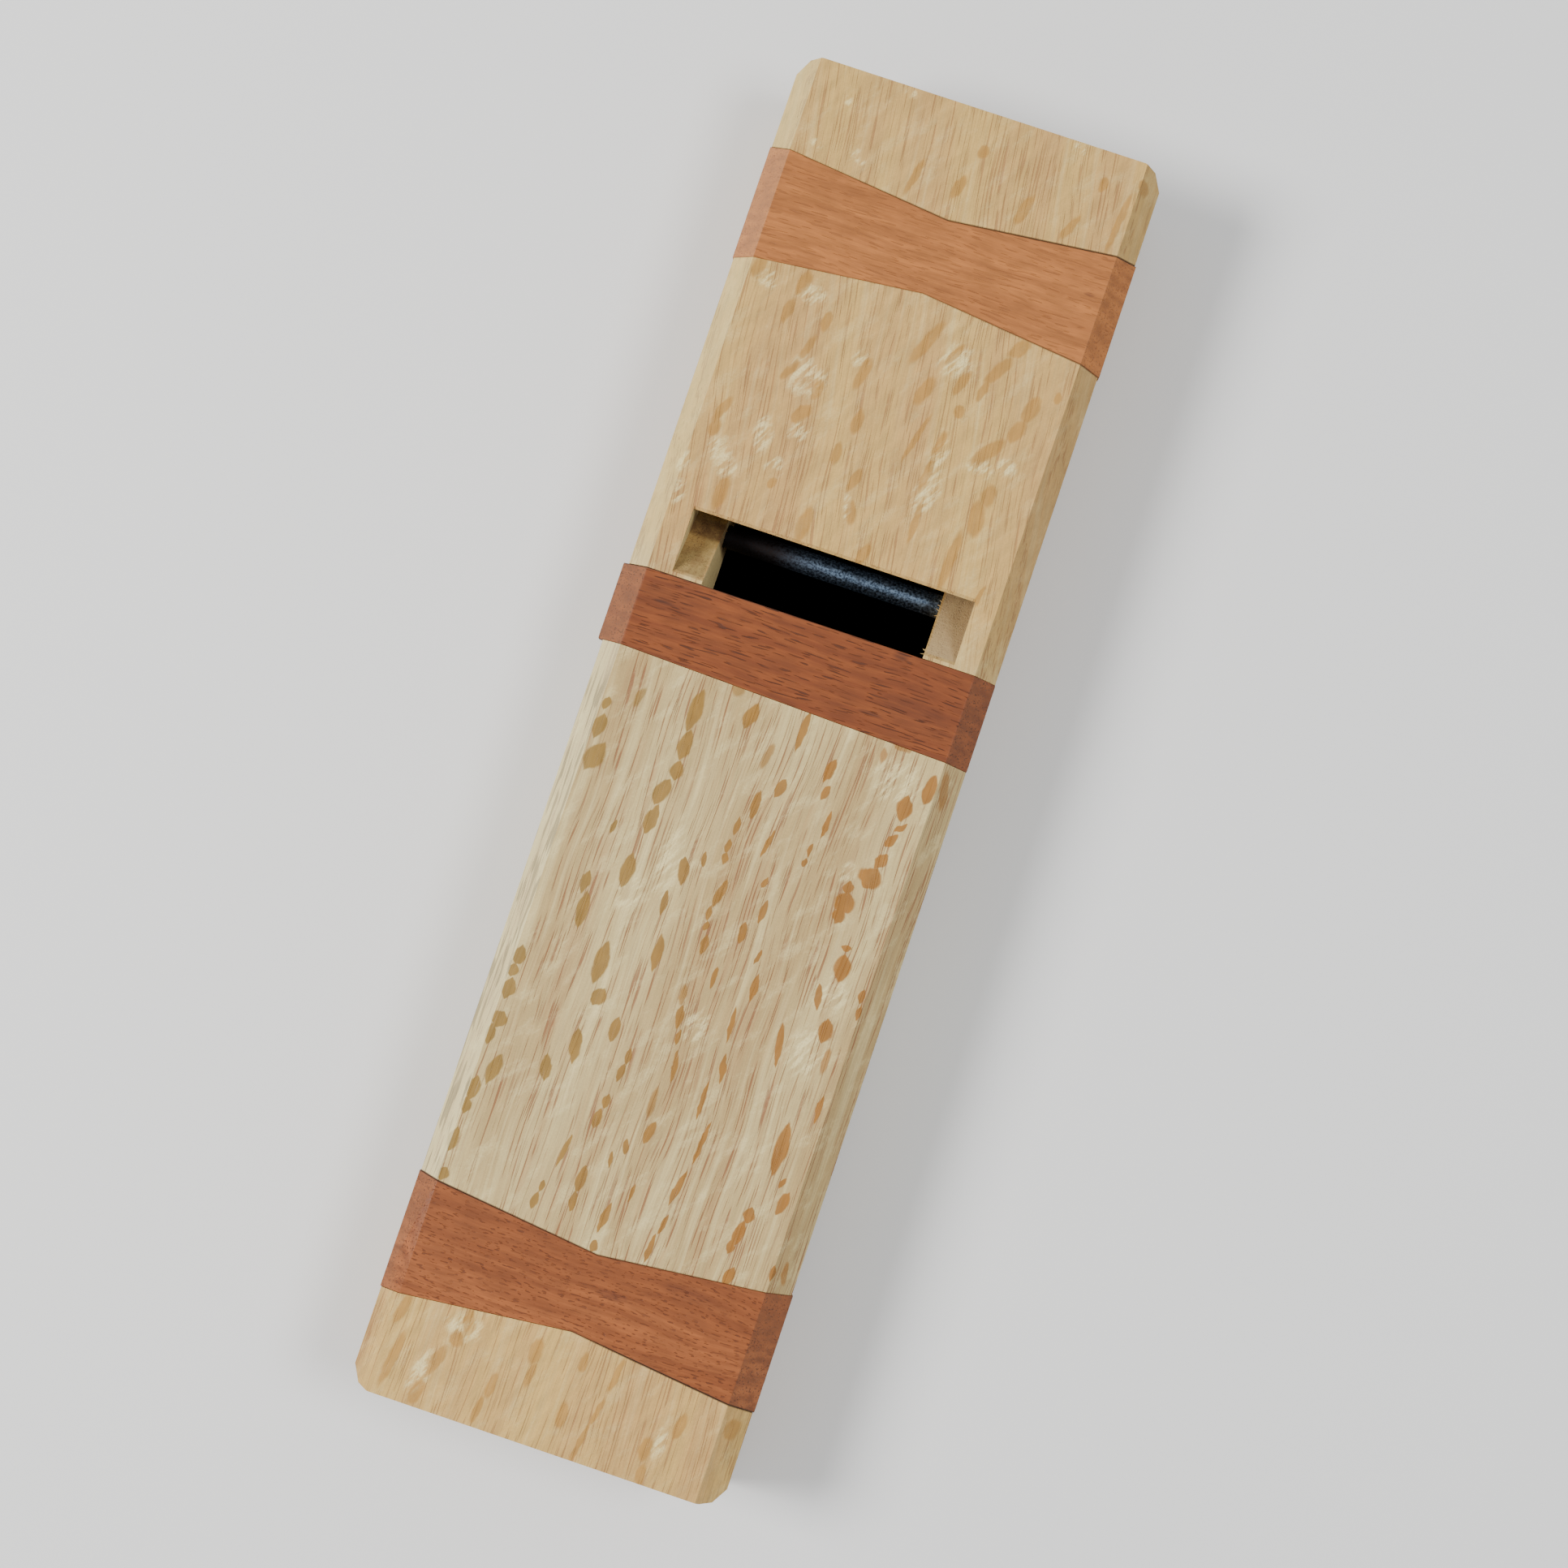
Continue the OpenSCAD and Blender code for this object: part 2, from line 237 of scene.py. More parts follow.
# Soft ones behind the mouth, at the toe, and a few faint ones between
SOFT_FLECKS = [
    (-6.4, 84.4, 2, 7, 12), (-4.3, 74.4, 2, 5, 5), (-6.3, 66.8, 1.8, 4.4, 0),
    (-1, 62.7, 1.8, 4.7, 15), (0.5, 56.2, 1.8, 4.5, -15), (4.1, 94.8, 2.3, 10, 22),
    (6.8, 85, 2.5, 6, 20), (8.3, 75, 1, 10, 14), (10.4, 94.2, 1.5, 5, 28),
    (13.6, 89, 1.7, 5.4, 20), (15, 83, 2, 2.6, 0), (13.3, 75.5, 1.5, 5, 10),
    (12.7, 68.5, 1.6, 6.6, 8), (13.6, 58, 1.3, 8, 0), (22.8, 99.5, 2.6, 5, 35),
    (20, 93.6, 2.2, 7, 30), (18.2, 88.5, 1.4, 4.5, 12), (29, 88, 2.8, 5.5, 15),
    (27.6, 83, 2.6, 5, 20), (23.2, 77, 2.6, 7.5, 38), (26.3, 68.3, 2.8, 4.4, 0),
    (25.4, 63, 3, 7, -8), (22.9, 53, 2, 12, 3), (33.5, 92.2, 1.4, 2.6, 0),
    (-17, 92.3, 1.8, 4, 5), (-34, 99, 2.5, 5, 10), (-24, 98.5, 2.3, 5, 10),
    (-25.4, 92, 1.8, 5, 10), (-19, 86, 1.6, 5, 15), (-21, 80.5, 1.6, 5, 25),
    (-14.2, 78, 2, 4, 10), (-15.9, 72.3, 2.5, 4.4, 32), (-31.7, 68, 1.8, 6, 22),
    (-32, 64, 2.2, 3.5, 5), (-17, 56.8, 1.6, 2.5, 15), (-26.4, 51.5, 2.4, 7, 5),
    (-8, 50.5, 2.5, 7, 5), (5.5, 48.5, 2, 5, 15), (31, 48, 0.9, 4, 8),
    (24.5, 127, 1.5, 6, 22), (14.4, 127.5, 2, 6.5, 15), (0, 128, 2, 5, 15),
    (-9.5, 127, 1.4, 8, 12), (28.4, 138, 1.6, 3, 10), (2.5, 136.5, 2, 3, 10),
    (33.8, 131, 1.4, 12, 5), (36.5, 140, 2, 3, -25),
    (-34, -127, 2, 6, 12), (-20.5, -125, 1.8, 4, 0), (-21.7, -129.4, 2.6, 3, 0),
    (-24, -134.5, 2, 6, 15), (-26, -142, 2.2, 5, 12), (-12, -136, 1.6, 5, 5),
    (-13.2, -141.5, 1.4, 5, 8), (-32.8, -137, 1.8, 11, 8), (-5.6, -126.5, 2.4, 5, 5),
    (-5.2, -131.5, 1.4, 5, 5), (4.3, -125.5, 1.5, 4, 0), (11.4, -126, 1.3, 7, 8),
    (10, -134, 1, 6, 12), (8.6, -141, 1, 8, 10), (3.5, -137, 2, 5, 0),
    (21.6, -138, 2.2, 4.5, 5), (22.4, -143, 1.8, 4, 0), (26.8, -131.5, 1.8, 5, 10),
    (37, -129, 2.8, 4, 0),
    (-28.6, 6, 1.4, 4, 15), (-9.8, 14, 2.3, 3, 0), (0.2, 2.9, 1.4, 5, 10),
    (-0.5, -49, 1.3, 4, 0), (0.6, -71.6, 1.4, 5.7, 0), (22.7, 10.5, 1.3, 3, 0),
    (26.1, 13.5, 3.5, 2, 0), (31.3, -52.5, 1.3, 5, 3), (36.8, 7.5, 1.6, 7, -8),
    (37.2, -96, 1.2, 4, -8),
]

# White silky patches on the sole, in the same form
SILK_PATCHES = [
    (11, 93, 5, 6, 30), (-22, 97, 5, 3, 0), (-31.5, 97, 4, 3, 0), (-7.6, 87, 3, 3, 30),
    (-17.5, 80, 7, 6, 20), (22.4, 73.5, 5, 3, 20), (28, 75, 3, 3, 30), (-15, 69, 3, 4, 30),
    (-22, 66, 3, 6, -10), (14, 65, 4, 8, 10), (14, 73, 2.5, 5, 10), (-29.5, 60, 4, 4, 30),
    (-27, 57, 3.5, 3.5, 20), (-17.6, 60, 3, 3.5, 0), (-35.7, 55, 2, 4, 0),
    (-34.8, 49, 2.4, 4, 0), (-0.7, 57, 1.4, 5, -15), (27, 6, 8, 7, 0), (23.6, -15, 2.5, 4, 0),
    (-12, -24, 4, 12, 0), (-17.6, -33, 4, 6, 0), (28, -39, 6, 6, 0), (27, -52, 6, 8, 0),
    (4, -54, 4, 6, 0), (-15.5, 143.5, 2, 1.5, 30), (-27.3, 138, 1.6, 1.6, 0),
    (-32, 132, 2, 1.6, 30), (-22, 127.5, 3.4, 2, 30), (-31, 127.3, 2, 1.4, 20),
    (21.5, 143.5, 2.6, 1.6, 30), (24, -136, 2, 5, 0), (-21, -126.5, 6, 4, 0),
    (-26.5, -138, 3, 8, 8),
]


def lens_field(g, x, y, lenses, pointed):
    """A field that is 0 at the middle of each lens and 1 on its outline."""
    place = g.vector(x, y, 1.0)
    nearest = None
    for middle_x, middle_y, width, length, lean in lenses:
        cos, sin = math.cos(math.radians(lean)), math.sin(math.radians(lean))
        across, along = 2.0 / width, 2.0 / length
        u = g.dot(
            place,
            (cos * across, -sin * across, (middle_y * sin - middle_x * cos) * across),
        )
        v = g.dot(
            place,
            (sin * along, cos * along, -(middle_x * sin + middle_y * cos) * along),
        )
        u = g.math("ABSOLUTE", u) if pointed else g.times(u, u)
        field = g.math("MULTIPLY_ADD", v, v, u)
        nearest = field if nearest is None else g.math("MINIMUM", nearest, field)
    return nearest


def joint_line(g, x, y, edges, width):
    """Darkness of the glue lines: each edge is (y on the centre line, slope to the sides, x of
    its strong end, x of its weak end)."""
    spread_x = g.math("ABSOLUTE", x)
    total = None
    for middle_y, slope, strong_x, weak_x in edges:
        away = g.math("SUBTRACT", y, g.math("MULTIPLY_ADD", spread_x, slope, middle_y))
        line = g.step(g.math("ABSOLUTE", away), width * 0.3, width, 1.0, 0.0)
        line = g.times(line, g.step(x, weak_x, strong_x))
        total = line if total is None else g.math("MAXIMUM", total, line)
    return total


# Glue lines along the bow-tie inlays, in the form that joint_line takes
KEY_SLOPE = KEY_HALF_FLARE / HALF_W
OAK_JOINTS = [
    (-KEY_Y + KEY_HALF_WAIST, KEY_SLOPE, -45.0, 70.0),
    (-KEY_Y - KEY_HALF_WAIST, -KEY_SLOPE, 12.0, -6.0),
    (KEY_Y - KEY_HALF_WAIST, -KEY_SLOPE, 90.0, -60.0),
    (KEY_Y + KEY_HALF_WAIST, KEY_SLOPE, 30.0, -60.0),
]

# The figure is soft behind the mouth and at the toe: where that starts and where it is complete
SOFT_BEHIND = (20.0, 45.0)
SOFT_BEFORE = (-104.0, -116.0)

# The mouth's cut walls: middle, half extent and fade along X and along Y, and the Z where they
# start and are complete. The grooves' floors lie beyond the throat's half width.
WALLS_X = (0.0, 31.2, 0.3)
WALLS_Y = (38.0, 12.0, 4.0)
WALLS_Z = (-0.3, -0.8)
FLOORS_X = (24.2, 24.6)


def oak():
    """Quarter-sawn white oak, planed: pores along Y, ray flecks on the sole, end grain on the ends.

    The tints of chamfers and of the mouth's walls hold some of the photo's lighting.
    """
    g = Graph("oak_wood")
    place, normal = g.coordinates()
    x, y, z = g.split(place)
    normal_x, normal_y, normal_z = g.split(normal)
    on_sole = g.step(normal_z, *SOLE_FACING)
    on_end = g.step(g.math("ABSOLUTE", normal_y), *OAK_END_FACING)
    on_side = g.step(g.math("ABSOLUTE", normal_x), *SIDE_FACING)
    left_chamfer, right_chamfer = g.chamfers(normal_x, on_sole)
    behind = g.step(y, *SOFT_BEHIND)
    before = g.step(y, *SOFT_BEFORE)
    soft_zone = g.math("MAXIMUM", behind, before)

    # The grain leans behind the mouth and wavers everywhere
    lean = g.times(g.math("MAXIMUM", g.math("SUBTRACT", y, 30.0), 0.0), 0.13)
    waver = g.noise(g.scaled(place, (1.0, 0.35, 1.0)), 16.0, 1.0)
    across = g.sum(g.sum(x, lean), g.math("MULTIPLY_ADD", waver, 5.0, -2.5))
    grain = g.vector(across, y, z)

    rings = g.noise(g.scaled(grain, (1.0, 0.03, 0.25)), 2.2, 2.0, 0.55)
    broad = g.noise(g.scaled(grain, (1.0, 0.12, 0.6)), 13.0, 2.0)
    fibres = g.noise(g.scaled(grain, (1.0, 0.025, 1.0)), 0.3, 2.0, 0.6)
    pores = g.noise(g.scaled(grain, (1.0, 0.024, 1.0)), 0.34, 1.0)
    pore = g.times(g.step(pores, 0.55, 0.64), g.step(rings, 0.4, 0.56, 0.2, 1.0))
    mottle = g.noise(g.scaled(grain, (1.0, 0.4, 1.0)), 2.4, 3.0, 0.6)
    grit = g.noise(place, 0.4, 2.0)

    warm = g.mix(g.step(broad, 0.35, 0.65), rgb(190, 155, 88), rgb(180, 142, 84))
    pale = g.mix(g.step(broad, 0.35, 0.65), rgb(188, 166, 114), rgb(168, 141, 92))
    colour = g.mix(soft_zone, pale, warm)
    streak = g.mix_value(soft_zone, 1.0, 0.45)
    late_wood = g.times(g.step(rings, 0.5, 0.7, 0.0, 0.45), streak)
    early_wood = g.times(g.step(rings, 0.46, 0.3, 0.0, 0.4), streak)
    colour = g.mix(late_wood, colour, rgb(158, 120, 76))
    colour = g.mix(early_wood, colour, rgb(216, 198, 142))
    colour = g.shade(colour, g.step(fibres, 0.25, 0.75, 0.9, 1.08))
    colour = g.shade(colour, g.step(mottle, 0.25, 0.75, 0.95, 1.05))
    colour = g.shade(colour, g.step(grit, 0.25, 0.75, 0.95, 1.05))
    pore_tone = g.mix_value(soft_zone, 0.8, 0.5)
    colour = g.mix(g.times(pore, pore_tone), colour, rgb(128, 78, 50))

    # Wisps of ray figure lean further than the grain behind the mouth and at the toe
    wisp_x = g.math("MULTIPLY_ADD", y, -0.5, x)
    wisp = g.noise(g.vector(wisp_x, g.times(y, 0.3), z), 2.2, 3.0, 0.6)
    wisp_area = g.times(soft_zone, on_sole)
    colour = g.shade(colour, g.mix_value(wisp_area, 1.0, g.step(wisp, 0.3, 0.7, 0.93, 1.08)))

    # Flecks and silk on the sole
    stir = g.noise(g.scaled(place, (1.0, 0.6, 1.0)), 1.6, 2.0, colour=True)
    stir_x, stir_y, _ = g.split(stir)
    fleck_x = g.math("MULTIPLY_ADD", stir_x, 0.9, g.math("SUBTRACT", x, 0.45))
    fleck_y = g.math("MULTIPLY_ADD", stir_y, 1.4, g.math("SUBTRACT", y, 0.7))
    crisp = g.step(lens_field(g, fleck_x, fleck_y, CRISP_FLECKS, True), 1.46, 1.06)
    soft = g.step(lens_field(g, fleck_x, fleck_y, SOFT_FLECKS, False), 1.8, 0.7)
    patches = g.step(lens_field(g, fleck_x, fleck_y, SILK_PATCHES, False), 3.0, 0.2)
    shimmer = g.noise(g.scaled(g.vector(wisp_x, y, z), (1.0, 0.3, 1.0)), 1.3, 3.0, 0.6)
    silk = g.times(patches, g.step(shimmer, 0.42, 0.62, 0.0, 1.0))
    loose = g.noise(g.scaled(g.vector(wisp_x, y, z), (1.0, 0.45, 1.0)), 4.0, 4.0, 0.65)
    loose = g.times(g.step(loose, 0.5, 0.68), g.mix_value(soft_zone, 0.4, 0.22))
    broken = g.times(on_sole, g.step(grit, 0.3, 0.6, 0.6, 1.0))
    silk = g.times(g.math("MAXIMUM", silk, loose), broken)
    colour = g.mix(g.times(silk, 0.6), colour, rgb(238, 224, 164))
    fleck = g.times(g.math("MAXIMUM", crisp, g.times(soft, 0.78)), on_sole)
    ochre = g.mix(g.step(x, -30.0, 25.0), rgb(130, 98, 36), rgb(140, 88, 18))
    ochre = g.mix(soft_zone, ochre, rgb(158, 112, 44))
    ochre = g.shade(ochre, g.step(mottle, 0.3, 0.7, 0.87, 1.12))
    colour = g.mix(g.times(fleck, 0.9), colour, ochre)

    # The left chamfer: a whitish strip, painted sheen where it faces the key light, with long grey
    # lenses where it cuts the rays aslant
    left_sheen_and_rays = g.times(left_chamfer, g.flip(soft_zone))
    lenses = g.noise(g.scaled(place, (1.0, 0.09, 1.0)), 0.9, 1.0)
    colour = g.mix(g.times(left_sheen_and_rays, 0.4), colour, rgb(236, 226, 176))
    grey = g.times(g.times(left_sheen_and_rays, g.step(lenses, 0.55, 0.62)), g.step(y, 14.0, 4.0))
    colour = g.mix(g.times(grey, 0.75), colour, rgb(146, 132, 98))

    # Behind the mouth the left chamfer is paler and the right one browner than the sole: painted
    # sheen on the left, which faces the key light, and painted shade on the right, which faces away
    colour = g.mix(g.times(g.times(left_chamfer, behind), 0.3), colour, rgb(226, 210, 150))
    colour = g.mix(g.times(g.times(right_chamfer, behind), 0.3), colour, rgb(132, 104, 66))

    # Cut walls of the grooves and the throat. The grooves' floors are duller, partly their cut
    # grain's own tone and partly painted shade;
    # the cheek that looks to the right is painted bright as bounce light
    inside = g.times(g.band(x, *WALLS_X), g.band(y, *WALLS_Y))
    inside = g.times(inside, g.step(z, *WALLS_Z))
    on_left = g.step(x, 0.0, -1.0)
    on_right = g.step(x, 0.0, 1.0)
    floors = g.times(inside, g.step(g.math("ABSOLUTE", x), *FLOORS_X))
    left_floor = g.times(g.times(floors, on_left), g.step(y, 42.5, 37.5))
    # The floors: their cut grain's duller tone, deepened as painted shade
    dull = g.mix(g.step(wisp, 0.42, 0.62), rgb(150, 130, 82), rgb(116, 96, 60))
    colour = g.mix(g.times(left_floor, 0.85), colour, dull)
    colour = g.mix(g.times(g.times(floors, on_right), 0.8), colour, rgb(174, 152, 118))
    # Painted bounce light: the throat's left cheek, which looks to the right, made pale
    left_cheek_painted_light = g.times(g.times(inside, on_left), g.step(normal_x, 0.6, 0.8))
    colour = g.mix(g.times(left_cheek_painted_light, 0.85), colour, rgb(232, 210, 150))

    # Ray flecks of the other faces, made by rule
    hidden = g.noise(g.scaled(grain, (0.5, 0.16, 1.0)), 1.0, 1.0)
    under = g.times(g.step(hidden, 0.64, 0.68), g.flip(g.math("MAXIMUM", on_sole, on_side)))
    colour = g.mix(g.times(g.times(under, g.flip(on_end)), 0.75), colour, ochre)
    dashes = g.noise(g.scaled(place, (1.0, 0.1, 1.0)), 0.5, 1.0)
    dash = g.times(g.step(dashes, 0.6, 0.68), on_side)
    colour = g.mix(g.times(dash, 0.5), colour, rgb(134, 96, 58))

    # End grain: growth rings stacked across X, rays as fine lines between them
    ring_wave = g.noise(g.scaled(place, (1.0, 0.02, 0.16)), 1.7, 2.0)
    rays = g.noise(g.scaled(place, (0.08, 0.02, 1.0)), 0.35, 1.0)
    dots = g.noise(g.scaled(place, (1.0, 0.05, 1.0)), 0.33, 1.0)
    end_colour = g.mix(g.step(ring_wave, 0.4, 0.6), rgb(176, 142, 90), rgb(150, 114, 70))
    end_colour = g.mix(g.step(rays, 0.55, 0.7, 0.0, 0.45), end_colour, rgb(200, 172, 118))
    end_colour = g.mix(g.step(dots, 0.58, 0.68, 0.0, 0.55), end_colour, rgb(100, 70, 44))
    colour = g.mix(g.times(on_end, 0.85), colour, end_colour)

    # Glue lines, and a mottled dark brown patch low at the deep end of the left groove
    glue = g.times(joint_line(g, x, y, OAK_JOINTS, 0.34), on_sole)
    colour = g.mix(g.times(glue, 0.85), colour, rgb(52, 30, 20))
    deep_groove_darkening = g.times(g.band(y, 45.0, 1.6, 1.4), g.band(x, -27.0, 3.6, 1.5))
    deep_groove_darkening = g.times(deep_groove_darkening, g.step(z, -5.0, -8.0))
    colour = g.mix(g.times(deep_groove_darkening, g.step(mottle, 0.3, 0.6, 0.45, 0.85)), colour, rgb(92, 62, 40))

    height = g.math("MULTIPLY_ADD", pore, -0.8, g.times(fibres, 0.35))
    height = g.math("MULTIPLY_ADD", g.step(dots, 0.58, 0.68), g.times(on_end, -0.6), height)
    height = g.math("MULTIPLY_ADD", mottle, 0.4, height)
    height = g.math("MULTIPLY_ADD", fleck, 0.2, height)
    rough = g.step(fibres, 0.2, 0.8, 0.5, 0.66)
    rough = g.math("MULTIPLY_ADD", fleck, -0.1, g.math("MULTIPLY_ADD", pore, 0.12, rough))
    return g.finish(colour, rough, height, depth_mm=0.09, specular=0.28)


# ---------------------------------------------------------------------------------------------
# Inlay hardwoods
# ---------------------------------------------------------------------------------------------


# For an inlay's dark_from: the whole piece, or none of it, lies beyond this Y
DARK_ALL = -60.0
DARK_NONE = 400.0


def hardwood(
    name, light, dark, pore_colour, pore_length, pore_amount, edges, blotches, dark_from, painted_sheen_tints
):
    """A hard tropical wood laid across the plane, with its pores along X.

    It is darker where Y is over dark_from. A blotch is (x, y, half length, half width, strength).
    The left and right chamfered ends are paler than the sole: painted sheen, by an amount for each.
    """
    g = Graph(name)
    place, normal = g.coordinates()
    x, y, z = g.split(place)
    normal_x, _, normal_z = g.split(normal)
    on_end = g.step(g.math("ABSOLUTE", normal_x), *SIDE_FACING)
    on_sole = g.step(normal_z, *SOLE_FACING)
    left_chamfer, right_chamfer = g.chamfers(normal_x, on_sole)
    waver = g.noise(g.scaled(place, (0.3, 1.0, 1.0)), 9.0, 1.0)
    across = g.sum(y, g.math("MULTIPLY_ADD", waver, 3.0, -1.5))
    grain = g.vector(x, across, z)

    streaks = g.noise(g.scaled(grain, (0.03, 1.0, 0.6)), 1.6, 3.0, 0.55)
    mottle = g.noise(g.scaled(grain, (0.35, 1.0, 1.0)), 2.6, 3.0, 0.6)
    fibres = g.noise(g.scaled(grain, (0.05, 1.0, 1.0)), 0.25, 2.0, 0.6)
    pores = g.noise(g.scaled(grain, (1.0 / pore_length, 1.0, 1.0)), 0.38, 1.0)
    pore = g.times(g.step(pores, 0.6, 0.66), g.step(mottle, 0.3, 0.6, 0.35, 1.0))

    colour = g.mix(g.step(streaks, 0.36, 0.64), light, dark)
    ragged_y = g.math("MULTIPLY_ADD", mottle, 5.0, y)
    redder = g.step(ragged_y, dark_from + 2.0, dark_from + 3.5)
    colour = g.mix(g.times(redder, 0.55), colour, dark)
    colour = g.shade(colour, g.step(mottle, 0.25, 0.75, 0.84, 1.14))
    colour = g.shade(colour, g.step(fibres, 0.2, 0.8, 0.9, 1.08))
    colour = g.mix(g.times(pore, pore_amount), colour, pore_colour)
    for spot_x, spot_y, half_x, half_y, strength in blotches:
        u = g.math("MULTIPLY_ADD", x, 1.0 / half_x, -spot_x / half_x)
        v = g.math("MULTIPLY_ADD", across, 1.0 / half_y, -spot_y / half_y)
        spot = g.step(g.math("MULTIPLY_ADD", u, u, g.times(v, v)), 1.3, 0.1)
        spot = g.times(spot, g.step(pores, 0.35, 0.6, strength * 0.4, strength))
        colour = g.mix(spot, colour, pore_colour)
    end = g.noise(g.scaled(place, (0.05, 1.0, 1.0)), 0.3, 1.0)
    end_colour = g.shade(colour, g.step(end, 0.5, 0.68, 0.86, 0.5))
    colour = g.mix(g.times(on_end, 0.6), colour, end_colour)
    # Painted sheen on the chamfered ends, most on the left, which faces the key light
    for chamfer, tint in zip((left_chamfer, right_chamfer), painted_sheen_tints):
        colour = g.mix(g.times(chamfer, tint), colour, rgb(226, 184, 146))
    glue = g.times(joint_line(g, x, y, edges, 0.28), on_sole)
    colour = g.mix(g.times(glue, 0.9), colour, rgb(36, 19, 12))

    height = g.math("MULTIPLY_ADD", pore, -0.8, g.times(fibres, 0.35))
    height = g.math("MULTIPLY_ADD", mottle, 0.3, height)
    rough = g.math("MULTIPLY_ADD", pore, 0.15, g.step(fibres, 0.2, 0.8, 0.42, 0.58))
    return g.finish(colour, rough, height, depth_mm=0.08, specular=0.29)


def front_hardwood():
    return hardwood(
        "toe_inlay_wood",
        light=rgb(142, 79, 37),
        dark=rgb(116, 60, 24),
        pore_colour=rgb(76, 36, 18),
        pore_length=4.5,
        pore_amount=0.7,
        edges=OAK_JOINTS[:2],
        blotches=[(5.5, -111.8, 3.6, 1.2, 0.7), (20.0, -106.4, 6.0, 1.8, 0.4)],
        dark_from=-111.0,
        painted_sheen_tints=(0.05, 0.03),
    )


def mouth_hardwood():
    return hardwood(
        "mouth_inlay_wood",
        light=rgb(138, 74, 30),
        dark=rgb(106, 51, 18),
        pore_colour=rgb(60, 28, 14),
        pore_length=13.0,
        pore_amount=0.85,
        edges=[(MOUTH_FRONT, 0.0, -30.0, 40.0)],
        blotches=[
            (19.6, 30.8, 1.8, 1.0, 0.7),
            (-30.0, 26.2, 2.6, 0.5, 0.8),
            (17.4, 17.6, 2.8, 0.5, 0.8),
            (26.0, 20.0, 9.0, 3.4, 0.3),
            (-28.0, 28.5, 9.0, 3.6, 0.3),
        ],
        dark_from=DARK_ALL,
        painted_sheen_tints=(0.08, 0.035),
    )


def rear_hardwood():
    return hardwood(
        "tail_inlay_wood",
        light=rgb(164, 101, 50),
        dark=rgb(147, 89, 44),
        pore_colour=rgb(112, 66, 36),
        pore_length=12.0,
        pore_amount=0.45,
        edges=OAK_JOINTS[2:],
        blotches=[(32.8, 114.8, 1.3, 0.45, 0.9), (-6.0, 105.4, 14.0, 1.3, 0.35)],
        dark_from=DARK_NONE,
        painted_sheen_tints=(0.13, 0.0),
    )


# ---------------------------------------------------------------------------------------------
# Steels
# ---------------------------------------------------------------------------------------------


STEEL_SPECULAR = 0.5
# The iron's hollow-ground face looks this way, out under the pin
IRON_FACE_NORMAL = (0.0, -0.661, -0.75)


def pin_steel():
    """A plain drawn rod with a dull blue-grey skin, scratches along it and a little brown rust.
    Its left part, which the left cheek shadows, is darkened as painted shade.
    """
    g = Graph("pin_steel_rod", metallic=1.0)
    place, _ = g.coordinates()
    x, _, _ = g.split(place)
    specks = g.noise(place, 0.5, 3.0, 0.65)
    scratches = g.noise(g.scaled(place, (0.06, 1.0, 1.0)), 0.3, 2.0)
    patches = g.noise(place, 3.5, 2.0)
    colour = g.mix(g.step(specks, 0.35, 0.65), rgb(54, 66, 82), rgb(112, 130, 150))
    # Painted shade: the rod's left part, in the left cheek's shadow, goes dark brown; the patches
    # are rust
    shaded_left = g.step(x, 2.0, -14.0, 0.0, 0.95)
    brown = g.math("MAXIMUM", g.step(patches, 0.5, 0.7, 0.0, 0.6), shaded_left)
    colour = g.mix(brown, colour, rgb(34, 26, 22))
    cut_end = g.step(g.math("ABSOLUTE", x), 26.0, 30.0)
    end_colour = g.mix(g.step(specks, 0.35, 0.65), rgb(92, 88, 84), rgb(126, 122, 116))
    colour = g.mix(cut_end, colour, end_colour)
    rough = g.math("MULTIPLY_ADD", brown, 0.25, g.step(specks, 0.3, 0.7, 0.32, 0.54))
    height = g.math("MULTIPLY_ADD", specks, 0.6, g.times(scratches, 0.4))
    return g.finish(colour, rough, height, depth_mm=0.04, specular=STEEL_SPECULAR)


def forged_steel():
    """The iron: dark forge scale on its body, bright where it is ground and honed."""
    g = Graph("forged_iron", metallic=1.0)
    place, normal = g.coordinates()
    _, _, normal_z = g.split(normal)
    scale = g.noise(place, 4.0, 4.0, 0.6)
    pits = g.noise(place, 0.7, 3.0, 0.6)
    lines = g.noise(g.scaled(place, (0.03, 1.0, 1.0)), 0.16, 2.0)
    dark = g.mix(g.step(scale, 0.35, 0.65), rgb(62, 60, 62), rgb(98, 92, 90))
    dark = g.mix(g.step(pits, 0.58, 0.68), dark, rgb(84, 60, 46))
    bright = g.mix(g.step(lines, 0.3, 0.7), rgb(168, 170, 174), rgb(200, 202, 204))
    on_bevel = g.step(normal_z, 0.9, 0.96)
    on_face = g.step(g.dot(normal, IRON_FACE_NORMAL), 0.985, 0.995)
    ground = g.math("MAXIMUM", on_bevel, on_face)
    colour = g.mix(ground, dark, bright)
    rough = g.mix_value(ground, 0.55, 0.24)
    rough = g.math("MULTIPLY_ADD", lines, 0.12, rough)
    height = g.math("MULTIPLY_ADD", lines, 0.3, g.times(pits, g.flip(ground)))
    return g.finish(colour, rough, height, depth_mm=0.06, specular=STEEL_SPECULAR)


